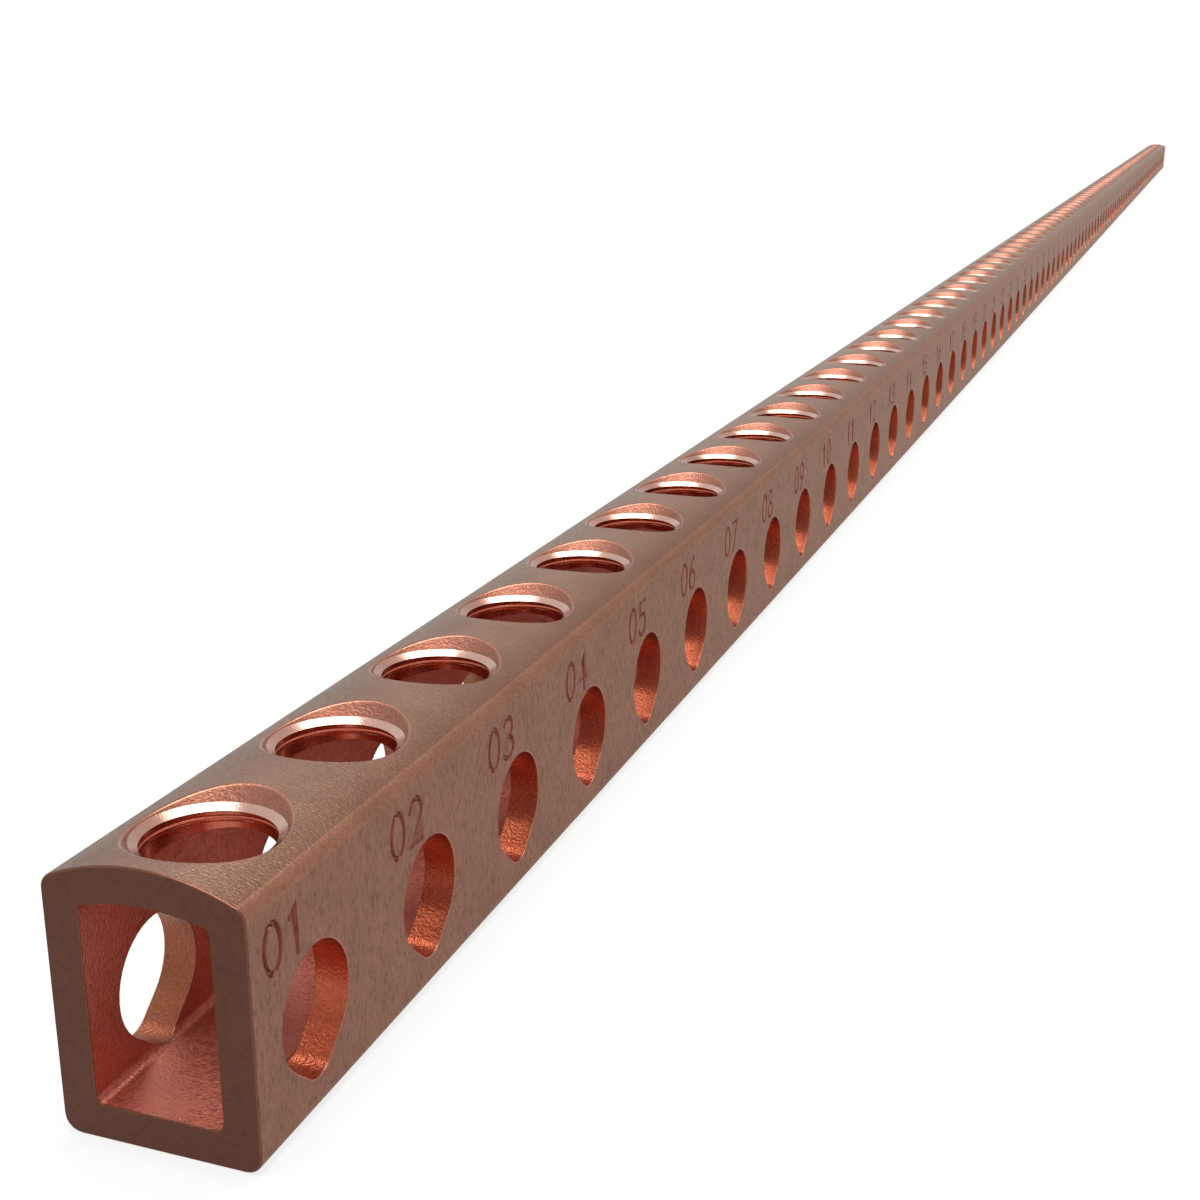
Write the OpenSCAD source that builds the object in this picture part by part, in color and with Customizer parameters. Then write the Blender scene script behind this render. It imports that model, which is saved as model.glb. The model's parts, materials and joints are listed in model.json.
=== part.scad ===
// Rack grounding busbar
//
// One hollow copper bar with a domed crown, open at both ends. Along its whole
// length it carries a row of wire ports. Each port runs through both side walls
// as a round hole with a V-shaped seat below it, and the countersunk, tapped
// hole in the crown above takes the screw that clamps the wire onto the seat.
//
// Frame: Z up, Y along the bar, X across it. The origin is under the middle of
// the bar, on the face that it rests on.

/* [Bar] */
// Width across the flat sides, mm
bar_w = 8.76; // [8.6:0.01:9]
// Height over the crown, mm
bar_h = 11.85; // [11.7:0.01:12.2]
// Radius of the domed crown, mm
crown_r = 9.64; // [9:0.01:12]
// Radius of the two bottom corners, mm
foot_r = 0.75; // [0.4:0.01:1]
// Radius of the two shoulders between side and crown, mm
shoulder_r = 0.7; // [0.3:0.01:0.9]

/* [Cavity] */
// Thickness of the two side walls, mm
side_t = 1.58; // [1.4:0.01:1.62]
// Thickness of the floor, mm
floor_t = 1.52; // [1.3:0.01:1.54]
// Thickness of the crown wall at its middle, mm
crown_t = 1.57; // [1.45:0.01:1.8]
// Radius of the cavity's arched ceiling, mm
ceiling_r = 9.9; // [9:0.01:12]
// Radius of the cavity's lower corners, mm
cavity_foot_r = 0.39; // [0.2:0.01:0.6]
// Radius of the cavity's upper corners, mm
cavity_shoulder_r = 0.33; // [0.2:0.01:0.6]

/* [Wire ports] */
// Number of ports along the bar
port_n = 88; // [2:1:88]
// Distance from one port to the next, mm
port_pitch = 10.16; // [9.2:0.01:10.6]
// Distance from each end of the bar to the nearest port, mm
port_start = 4.57; // [4.4:0.01:6]
// Height of the round part's centre over the base, mm
port_z = 4.65; // [4.63:0.01:4.9]
// Radius of the round part, mm
port_r = 2.6; // [2.4:0.01:2.7]
// Radius of the rounded bottom of the V seat, mm
seat_r = 1.19; // [0.9:0.01:1.2]
// Depth of the seat's centre below the round part's centre, mm
seat_drop = 1.86; // [1.8:0.01:1.88]

/* [Screw holes] */
// Radius of the bore that the clamp screw's thread is cut in, mm
bore_r = 2.68; // [2.5:0.01:2.75]
// Radius of the countersink at the level of the crown's middle, mm
sink_r = 3.63; // [3.5:0.01:3.8]
// Radius at which the countersink turns into the thread's lead-in, mm
lead_r = 3.02; // [2.8:0.01:3.2]
// Depth of that turn below the crown's middle, mm
lead_depth = 0.61; // [0.4:0.01:0.7]
// Depth of the bore's upper edge below the crown's middle, mm
bore_depth = 0.85; // [0.8:0.01:1.1]

/* [Hidden] */
$fn = 96;
// Facets on each small corner of the bar, and on each one of the cavity.
bar_steps = 6;
cavity_steps = 3;
// Amount that a cutting body reaches past a face, mm.
over = 1;
// Amount that a seat's flank starts inside a port's round parts, mm.
flank_over = 0.15;
// Turn of the flank's ends from the true tangent points, degrees.
flank_turn = 2;
bar_l = 2 * port_start + (port_n - 1) * port_pitch;
first_y = port_start - bar_l / 2;
cavity_w = bar_w - 2 * side_t;
cavity_h = bar_h - crown_t;
flank_angle = acos((port_r - seat_r) / seat_drop);

// Points on an arc about c, from angle a0 to angle a1, in equal steps.
function arc_points(c, r, a0, a1, steps) = [
  for (i = [0 : steps])
    let (a = a0 + (a1 - a0) * i / steps)
    [c[0] + r * cos(a), c[1] + r * sin(a)]
];

// Height of the centre of a corner arc that is tangent to a side and the arch.
function shoulder_centre_z(half_w, arch_r, arch_z, r) =
  arch_z + sqrt(pow(arch_r - r, 2) - pow(half_w - r, 2));

// Angle at which that corner arc meets the arch.
function shoulder_end(half_w, arch_r, r) = acos((half_w - r) / (arch_r - r));

// Right-hand half of an arched outline, from the bottom up. Its last edge runs
// on to the middle plane, over the arch, so that the arch alone closes the top.
function half_outline(half_w, bottom, foot, arch_r, arch_z, shoulder, steps) =
  let (
    c = [half_w - shoulder, shoulder_centre_z(half_w, arch_r, arch_z, shoulder)],
    arc = arc_points(c, shoulder, 0, shoulder_end(half_w, arch_r, shoulder), steps),
    last = arc[steps],
    before = arc[steps - 1],
    rise = (last[1] - before[1]) / (before[0] - last[0])
  )
  concat(
    arc_points([half_w - foot, bottom + foot], foot, -90, 0, steps),
    [for (i = [0 : steps - 1]) arc[i]],
    [[0, last[1] + rise * last[0]]]
  );

// Mirror image of a half outline about the middle plane, in reverse and
// without the point that lies on that plane.
function mirrored(half) = [
  for (i = [len(half) - 2 : -1 : 0])
    [-half[i][0], half[i][1]]
];

// Arched prism along Y: flat sides and floor, with a true round top.
module arched_prism(w, bottom, top, foot, arch_r, shoulder, len_y, steps) {
  arch_z = top - arch_r;
  right = half_outline(w / 2, bottom, foot, arch_r, arch_z, shoulder, steps);
  rotate([90, 0, 0])
    linear_extrude(height = len_y, center = true)
      intersection() {
        polygon(concat(right, mirrored(right)));
        translate([0, arch_z])
          circle(r = arch_r);
      }
}

// Quadrilateral between the round part of a port and the bottom of its seat.
module seat_flanks() {
  turned_a = flank_angle + flank_turn;
  turned_b = flank_angle - flank_turn;
  a = [port_r * sin(turned_a), -port_r * cos(turned_a)];
  b = [seat_r * sin(turned_b), -seat_drop - seat_r * cos(turned_b)];
  u = (b - a) / norm(b - a) * flank_over;
  p = a - u;
  q = b + u;
  polygon([p, q, [-q[0], q[1]], [-p[0], p[1]]]);
}

// Cutting body of one wire port, through both side walls.
module port_cut() {
  rotate([90, 0, 90])
    linear_extrude(height = bar_w + 2 * over, center = true) {
      circle(r = port_r);
      translate([0, -seat_drop])
        circle(r = seat_r);
      seat_flanks();
    }
}

// Cutting body of one countersunk screw hole, from the crown into the cavity.
// It is turned so that its seam lies on the crown's middle line.
module screw_cut() {
  spread = (sink_r - lead_r) / lead_depth * over;
  rotate([0, 0, 90])
    rotate_extrude()
      polygon([
        [0, -crown_t - over],
        [bore_r, -crown_t - over],
        [bore_r, -bore_depth],
        [lead_r, -lead_depth],
        [sink_r + spread, over],
        [0, over]
      ]);
}

// The whole bar, one piece.
module busbar() {
  color([0.56, 0.4, 0.34])
    difference() {
      arched_prism(bar_w, 0, bar_h, foot_r, crown_r, shoulder_r, bar_l, bar_steps);
      arched_prism(cavity_w, floor_t, cavity_h, cavity_foot_r, ceiling_r,
                   cavity_shoulder_r, bar_l + 2 * over, cavity_steps);
      for (i = [0 : port_n - 1])
        translate([0, first_y + i * port_pitch, 0]) {
          translate([0, 0, port_z])
            port_cut();
          translate([0, 0, bar_h])
            screw_cut();
        }
    }
}

busbar();
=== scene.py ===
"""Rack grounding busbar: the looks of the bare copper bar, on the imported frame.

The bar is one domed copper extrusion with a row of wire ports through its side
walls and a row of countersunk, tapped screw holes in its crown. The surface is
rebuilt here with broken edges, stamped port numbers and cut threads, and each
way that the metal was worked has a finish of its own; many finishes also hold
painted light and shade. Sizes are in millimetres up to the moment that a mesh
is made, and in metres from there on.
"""

import json
import logging
import math
from dataclasses import dataclass
from enum import Enum

import bpy
import numpy as np
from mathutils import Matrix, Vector
from mathutils.geometry import delaunay_2d_cdt

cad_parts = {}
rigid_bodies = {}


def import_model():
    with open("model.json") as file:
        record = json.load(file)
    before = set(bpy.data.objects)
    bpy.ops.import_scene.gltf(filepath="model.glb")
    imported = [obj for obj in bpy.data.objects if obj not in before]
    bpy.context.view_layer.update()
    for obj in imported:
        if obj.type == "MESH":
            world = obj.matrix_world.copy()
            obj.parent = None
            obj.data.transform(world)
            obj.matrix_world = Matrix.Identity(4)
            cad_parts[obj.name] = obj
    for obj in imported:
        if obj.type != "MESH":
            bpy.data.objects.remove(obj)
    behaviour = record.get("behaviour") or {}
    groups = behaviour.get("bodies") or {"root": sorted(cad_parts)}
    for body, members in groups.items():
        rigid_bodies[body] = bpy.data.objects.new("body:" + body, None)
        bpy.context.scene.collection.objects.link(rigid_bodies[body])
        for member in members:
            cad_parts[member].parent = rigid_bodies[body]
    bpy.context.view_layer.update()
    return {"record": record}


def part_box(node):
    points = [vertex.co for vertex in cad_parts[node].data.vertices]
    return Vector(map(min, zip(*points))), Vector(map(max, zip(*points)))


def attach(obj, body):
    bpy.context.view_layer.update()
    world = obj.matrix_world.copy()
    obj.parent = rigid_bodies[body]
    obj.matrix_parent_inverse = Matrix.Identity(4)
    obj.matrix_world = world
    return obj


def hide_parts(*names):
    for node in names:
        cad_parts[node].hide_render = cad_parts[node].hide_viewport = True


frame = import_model()

MM = 0.001
TAU = 2 * math.pi
BODY = "root"
NODE = "busbar"
WELD = 1e-6  # Distance in millimetres within which points of an outline are one.
SLIVER = 1e-8  # Twice the area in square millimetres below which a triangle is dropped.
MERGE = 2e-6  # Distance in metres within which the repeated lengths are joined.
END_REACH = 1.0  # Distance in millimetres from an end of the bar that counts as the end.
MITRE_LIMIT = 0.6  # Least value that a sharp corner of a stroke is divided by.
MIRROR = np.array([-1, 1])  # Turns a right-hand half of the cross-section into a left-hand one.
log = logging.getLogger("busbar")


class Zone(Enum):
    """Ways in which the bar's surface was worked, one finish each; many finishes also hold painted light and
    shade.
    """

    SKIN = 0
    CROWN = 1
    SHOULDER = 2
    SAWN = 3
    CAVITY = 4
    PORT = 5
    SINK = 6
    LEAD = 7
    BORE = 8
    MARK = 9
    EDGE = 10
    BURR = 11


# Surface building


def triangulate(points: np.ndarray, edges: list[tuple[int, int]]) -> tuple[np.ndarray, np.ndarray]:
    """Fills the hull of flat points with triangles that respect given edges.

    Args:
        points: Flat points, one row of two values each.
        edges: Pairs of point numbers that stay edges of the result.

    Returns:
        The points of the result, and its triangles as rows of point numbers.
    """
    flat = [Vector((float(p[0]), float(p[1]))) for p in points]
    made = delaunay_2d_cdt(flat, edges, [], 0, WELD, False)
    return np.array([tuple(v) for v in made[0]]), np.array([tuple(f) for f in made[2]])


def ring_edges(start: int, count: int) -> list[tuple[int, int]]:
    """Edges of a closed ring of points that are numbered from a start."""
    return [(start + i, start + (i + 1) % count) for i in range(count)]


def inside(points: np.ndarray, outline: np.ndarray) -> np.ndarray:
    """Tells which flat points lie inside a closed outline.

    Args:
        points: Flat points to test.
        outline: Corners of the closed outline.

    Returns:
        One truth value for each point.
    """
    x, y = points[:, 0], points[:, 1]
    result = np.zeros(len(points), bool)
    for (x0, y0), (x1, y1) in zip(outline, np.roll(outline, -1, axis=0)):
        if y0 == y1:
            continue
        crosses = (y0 > y) != (y1 > y)
        result ^= crosses & (x < (x1 - x0) * (y - y0) / (y1 - y0) + x0)
    return result


@dataclass
class Loop:
    """Closed ring of points in space with normals, in order of their angle."""

    points: np.ndarray
    normals: np.ndarray
    angles: np.ndarray

    def __post_init__(self) -> None:
        """Sorts the ring by angle."""
        order = np.argsort(self.angles)
        self.points = self.points[order]
        self.normals = self.normals[order]
        self.angles = self.angles[order]


class Shell:
    """Surface under construction, whose triangles carry a zone and normals."""

    def __init__(self) -> None:
        """Starts with nothing in the shell."""
        self.points: list[np.ndarray] = []
        self.corners: list[np.ndarray] = []
        self.faces: list[np.ndarray] = []
        self.zones: list[np.ndarray] = []
        self.count = 0

    def add(
        self,
        points: np.ndarray,
        normals: np.ndarray,
        faces: np.ndarray,
        zone: "Zone | np.ndarray",
        flat: bool = False,
    ) -> None:
        """Adds triangles and turns each one towards its own normals.

        Args:
            points: Points in millimetres.
            normals: Outward normal at each point.
            faces: Triangles as rows of point numbers.
            zone: Zone of all triangles, or the zone value of each.
            flat: Whether a triangle is shaded flat instead of by the normals.
        """
        tri = np.array(faces, int).reshape(-1, 3)
        values = np.full(len(tri), zone.value) if isinstance(zone, Zone) else zone
        across = np.cross(points[tri[:, 1]] - points[tri[:, 0]], points[tri[:, 2]] - points[tri[:, 0]])
        size = np.linalg.norm(across, axis=1)
        whole = size > SLIVER
        tri, across, values, size = tri[whole], across[whole], values[whole], size[whole]
        turned = np.einsum("ij,ij->i", across, normals[tri].mean(axis=1)) < 0
        tri[turned] = tri[turned][:, ::-1]
        across[turned] *= -1
        corner = normals[tri]
        if flat:
            corner = np.repeat((across / size[:, None])[:, None, :], 3, axis=1)
        self.points.append(points)
        self.faces.append(tri + self.count)
        self.corners.append(corner)
        self.zones.append(values)
        self.count += len(points)

    def bridge(self, a: Loop, b: Loop, zone: Zone) -> None:
        """Joins two rings round the same hole with a strip of triangles.

        Args:
            a: One ring.
            b: The other ring, which may have another number of points.
            zone: Zone of the strip.
        """
        na, nb = len(a.points), len(b.points)
        faces = []
        i = j = 0
        while i < na or j < nb:
            next_a = a.angles[(i + 1) % na] + TAU * ((i + 1) // na)
            next_b = b.angles[(j + 1) % nb] + TAU * ((j + 1) // nb)
            if j == nb or (i < na and next_a <= next_b):
                faces.append((i % na, (i + 1) % na, na + j % nb))
                i += 1
            else:
                faces.append((i % na, na + (j + 1) % nb, na + j % nb))
                j += 1
        points, normals = np.vstack([a.points, b.points]), np.vstack([a.normals, b.normals])
        self.add(points, normals, np.array(faces), zone)

    def mesh(self, name: str) -> bpy.types.Mesh:
        """Makes a mesh in metres with the zones and normals as attributes.

        Args:
            name: Name of the new mesh.

        Returns:
            The new mesh.
        """
        made = bpy.data.meshes.new(name)
        faces = np.vstack(self.faces)
        made.from_pydata((np.vstack(self.points) * MM).tolist(), [], faces.tolist())
        normals = np.vstack([c.reshape(-1, 3) for c in self.corners])
        normals /= np.linalg.norm(normals, axis=1)[:, None]
        made.attributes.new("nrm", "FLOAT_VECTOR", "CORNER").data.foreach_set("vector", normals.ravel())
        made.attributes.new("zone", "INT", "FACE").data.foreach_set("value", np.concatenate(self.zones))
        made.update()
        return made


@dataclass(frozen=True)
class Band:
    """Stretch of the bar's cross-section that runs on along the bar.

    Attributes:
        section: Points across and up, one row each.
        facing: Outward normal at each point, across and up.
        zones: Zone of each piece between two neighbouring points.
    """

    section: np.ndarray
    facing: np.ndarray
    zones: tuple[Zone, ...]

    def reach(self) -> np.ndarray:
        """Distance of each point from the first one, along the section."""
        steps = np.linalg.norm(np.diff(self.section, axis=0), axis=1)
        return np.concatenate([[0.0], np.cumsum(steps)])

    def place(self, flat: np.ndarray) -> tuple[np.ndarray, np.ndarray]:
        """Lifts points of the unrolled band into space.

        Args:
            flat: Rows of distance along the section and place along the bar.

        Returns:
            The points in space and the normals there.
        """
        reach = self.reach()
        x = np.interp(flat[:, 0], reach, self.section[:, 0])
        z = np.interp(flat[:, 0], reach, self.section[:, 1])
        nx = np.interp(flat[:, 0], reach, self.facing[:, 0])
        nz = np.interp(flat[:, 0], reach, self.facing[:, 1])
        normals = np.stack([nx, np.zeros_like(nx), nz], axis=1)
        normals /= np.linalg.norm(normals, axis=1)[:, None]
        return np.stack([x, flat[:, 1], z], axis=1), normals

    def sweep(
        self,
        shell: Shell,
        low: float,
        high: float,
        hole: np.ndarray | None = None,
        cut: np.ndarray | None = None,
    ) -> tuple[np.ndarray, np.ndarray]:
        """Adds the band between two places along the bar, with an open hole.

        Args:
            shell: Shell that gets the band.
            low: Place where the band starts.
            high: Place where it ends.
            hole: Outline of a hole on the unrolled band, left open.
            cut: Outline of a second opening, left open too.

        Returns:
            The points round the hole in space, and the normals there.
        """
        reach = self.reach()
        n = len(reach)
        points = [np.stack([reach, np.full(n, low)], axis=1), np.stack([reach, np.full(n, high)], axis=1)]
        edges = [(i, n + i) for i in range(n)]
        edges += [(i, i + 1) for i in range(n - 1)] + [(n + i, n + i + 1) for i in range(n - 1)]
        start = 2 * n
        for outline in (hole, cut):
            if outline is not None:
                points.append(outline)
                edges += ring_edges(start, len(outline))
                start += len(outline)
        flat, faces = triangulate(np.vstack(points), edges)
        middle = flat[faces].mean(axis=1)
        step = np.clip(np.searchsorted(reach, middle[:, 0]) - 1, 0, n - 2)
        values = np.array([zone.value for zone in self.zones])[step]
        kept = np.ones(len(faces), bool)
        for outline in (hole, cut):
            if outline is not None:
                kept &= ~inside(middle, outline)
        space, normals = self.place(flat)
        shell.add(space, normals, faces[kept], values[kept])
        if hole is None:
            return space[:0], normals[:0]
        dropped = {p for face in faces[inside(middle, hole)] for p in face}
        rim = sorted(dropped & {p for face in faces[kept] for p in face})
        return space[rim], normals[rim]


def arc(
    centre: tuple[float, float], radius: float, first: float, last: float, steps: int
) -> tuple[np.ndarray, np.ndarray]:
    """Points on an arc in the cross-section, with their outward normals.

    Args:
        centre: Centre of the arc, across and up.
        radius: Radius of the arc.
        first: Angle of the first point, in radians.
        last: Angle of the last point, in radians.
        steps: Number of equal steps.

    Returns:
        The points and the normals, one row each.
    """
    turn = np.linspace(first, last, steps + 1)
    facing = np.stack([np.cos(turn), np.sin(turn)], axis=1)
    return np.array(centre) + radius * facing, facing


# The bar


@dataclass(frozen=True)
class Arch:
    """Arched outline with rounded corners, used for the bar and its cavity.

    Attributes:
        half: Half of the width.
        bottom: Height of the flat bottom.
        top: Height of the arch at the middle.
        foot: Radius of the lower corners.
        arch: Radius of the arch.
        shoulder: Radius of the upper corners.
        corner_steps: Steps round each corner.
        arch_steps: Steps across the arch.
        sign: 1 where the metal lies inside the outline, -1 where outside.
    """

    half: float
    bottom: float
    top: float
    foot: float
    arch: float
    shoulder: float
    corner_steps: int
    arch_steps: int
    sign: int

    @property
    def arch_z(self) -> float:
        """Height of the arch's centre."""
        return self.top - self.arch

    @property
    def side_top(self) -> float:
        """Height at which the flat side ends."""
        run = self.half - self.shoulder
        return self.arch_z + math.sqrt((self.arch - self.shoulder) ** 2 - run**2)

    def cover(self, corner: Zone, middle: Zone) -> Band:
        """Band over both upper corners and the arch, from right to left.

        Args:
            corner: Zone of the two corners.
            middle: Zone of the arch.

        Returns:
            The band.
        """
        end = math.acos((self.half - self.shoulder) / (self.arch - self.shoulder))
        right = arc((self.half - self.shoulder, self.side_top), self.shoulder, 0, end, self.corner_steps)
        over = arc((0, self.arch_z), self.arch, end, math.pi - end, self.arch_steps)
        section = np.vstack([right[0], over[0][1:-1], right[0][::-1] * MIRROR])
        facing = np.vstack([right[1], over[1][1:-1], right[1][::-1] * MIRROR]) * self.sign
        corners = (corner,) * self.corner_steps
        return Band(section, facing, corners + (middle,) * self.arch_steps + corners)

    def foot_corner(self) -> tuple[np.ndarray, np.ndarray]:
        """Points and normals of the lower right corner, from the bottom up."""
        centre = (self.half - self.foot, self.bottom + self.foot)
        return arc(centre, self.foot, -math.pi / 2, 0, self.corner_steps)

    def base(self, zone: Zone) -> Band:
        """Band over both lower corners and the bottom, from left to right."""
        points, normals = self.foot_corner()
        section = np.vstack([points[::-1] * MIRROR, points])
        facing = np.vstack([normals[::-1] * MIRROR, normals]) * self.sign
        return Band(section, facing, (zone,) * (len(section) - 1))

    def side(self, way: int, zone: Zone, with_foot: bool) -> Band:
        """Band up one flat side, with or without the lower corner.

        Args:
            way: 1 for the right side, -1 for the left one.
            zone: Zone of the side.
            with_foot: Whether the band starts at the bottom, under the corner.

        Returns:
            The band.
        """
        points, normals = self.foot_corner()
        start = 0 if with_foot else -1
        section = np.vstack([points[start:], [[self.half, self.side_top]]])
        facing = np.vstack([normals[start:], [[1, 0]]]) * self.sign
        flip = np.array([way, 1])
        return Band(section * flip, facing * flip, (zone,) * (len(section) - 1))

    def floor(self, zone: Zone) -> Band:
        """Band across the flat bottom alone, between the lower corners."""
        run = self.half - self.foot
        section = np.array([[-run, self.bottom], [run, self.bottom]])
        return Band(section, np.array([[0, -1], [0, -1]]) * self.sign, (zone,))

    def ring(self, inset: float) -> tuple[np.ndarray, np.ndarray]:
        """Closed outline, set back into the metal, with its normals.

        Args:
            inset: Distance that the outline is set back.

        Returns:
            The points and the normals, across and up.
        """
        over, under = self.cover(Zone.EDGE, Zone.EDGE), self.base(Zone.EDGE)
        section = np.vstack([over.section, under.section])
        facing = np.vstack([over.facing, under.facing])
        return section - inset * facing, facing


OUTER = Arch(
    half=4.38,
    bottom=0.0,
    top=11.85,
    foot=0.75,
    arch=9.64,
    shoulder=0.7,
    corner_steps=5,
    arch_steps=14,
    sign=1,
)
CAVITY = Arch(
    half=2.8,
    bottom=1.52,
    top=10.28,
    foot=0.39,
    arch=9.9,
    shoulder=0.33,
    corner_steps=3,
    arch_steps=12,
    sign=-1,
)


@dataclass(frozen=True)
class WirePort:
    """Round wire port with a V-shaped seat below it, through both side walls.

    Attributes:
        height: Height of the round part's centre.
        radius: Radius of the round part.
        seat_radius: Radius of the seat's rounded bottom.
        seat_drop: Depth of the seat's centre below the round part's.
        round_steps: Steps round the round part.
        seat_steps: Steps round the seat's bottom.
        break_out: Width of the broken edge on the outside.
        break_in: Width of the broken edge in the cavity.
    """

    height: float = 4.65
    radius: float = 2.6
    seat_radius: float = 1.19
    seat_drop: float = 1.86
    round_steps: int = 32
    seat_steps: int = 8
    break_out: float = 0.07
    break_in: float = 0.04

    def outline(self, grow: float) -> tuple[np.ndarray, np.ndarray]:
        """Outline of the port, along the bar and up, with outward normals.

        Args:
            grow: Distance that the outline is moved out into the metal.

        Returns:
            The points and the normals, along the bar and up.
        """
        lean = math.acos((self.radius - self.seat_radius) / self.seat_drop)
        down = -math.pi / 2
        bow = arc((0, self.height), self.radius + grow, down + lean, down + TAU - lean, self.round_steps)
        seat = arc(
            (0, self.height - self.seat_drop),
            self.seat_radius + grow,
            down - lean,
            down + lean,
            self.seat_steps,
        )
        return np.vstack([bow[0], seat[0]]), np.vstack([bow[1], seat[1]])

    def angle(self, along: np.ndarray, up: np.ndarray) -> np.ndarray:
        """Angle of points round the port's centre."""
        return np.arctan2(up - self.height, along)

    def loop(self, x: np.ndarray, outline: np.ndarray, normals: np.ndarray) -> Loop:
        """Ring of the port's outline in space.

        Args:
            x: Place of each point across the bar.
            outline: Points along the bar and up.
            normals: Normals in space.

        Returns:
            The ring.
        """
        points = np.stack([x, outline[:, 0], outline[:, 1]], axis=1)
        return Loop(points, normals, self.angle(outline[:, 0], outline[:, 1]))

    def cut(
        self,
        shell: Shell,
        wall: Band,
        lining: Band,
        low: float,
        high: float,
        way: int,
        cell: np.ndarray | None,
    ) -> None:
        """Adds one side wall with its port, from the outside to the cavity.

        Args:
            shell: Shell that gets the wall.
            wall: Band of the outer face.
            lining: Band of the cavity's face.
            low: Place where the wall starts.
            high: Place where it ends.
            way: 1 for the right wall, -1 for the left one.
            cell: Corners of the field for the stamped number, or None.
        """
        outside, inner = self.outline(self.break_out)[0], self.outline(self.break_in)[0]
        plain, facing = self.outline(0)
        tunnel = np.stack([np.zeros(len(plain)), -facing[:, 0], -facing[:, 1]], axis=1)
        face_x, start = wall.section[0]
        cut = None if cell is None else np.stack([cell[:, 1] - start, cell[:, 0]], axis=1)
        rim = wall.sweep(shell, low, high, np.stack([outside[:, 1] - start, outside[:, 0]], axis=1), cut)
        reach = lining.reach()
        away = np.interp(inner[:, 1], lining.section[:, 1], reach)
        back = lining.sweep(shell, low, high, np.stack([away, inner[:, 0]], axis=1))
        mouth = self.loop(np.full(len(plain), face_x - way * self.break_out), plain, tunnel)
        deep_x = np.interp(plain[:, 1], lining.section[:, 1], lining.section[:, 0])
        throat = self.loop(deep_x + way * self.break_in, plain, tunnel)
        first = Loop(rim[0], rim[1], self.angle(rim[0][:, 1], rim[0][:, 2]))
        last = Loop(back[0], back[1], self.angle(back[0][:, 1], back[0][:, 2]))
        shell.bridge(first, mouth, Zone.EDGE)
        shell.bridge(mouth, throat, Zone.PORT)
        shell.bridge(throat, last, Zone.EDGE)


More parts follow.
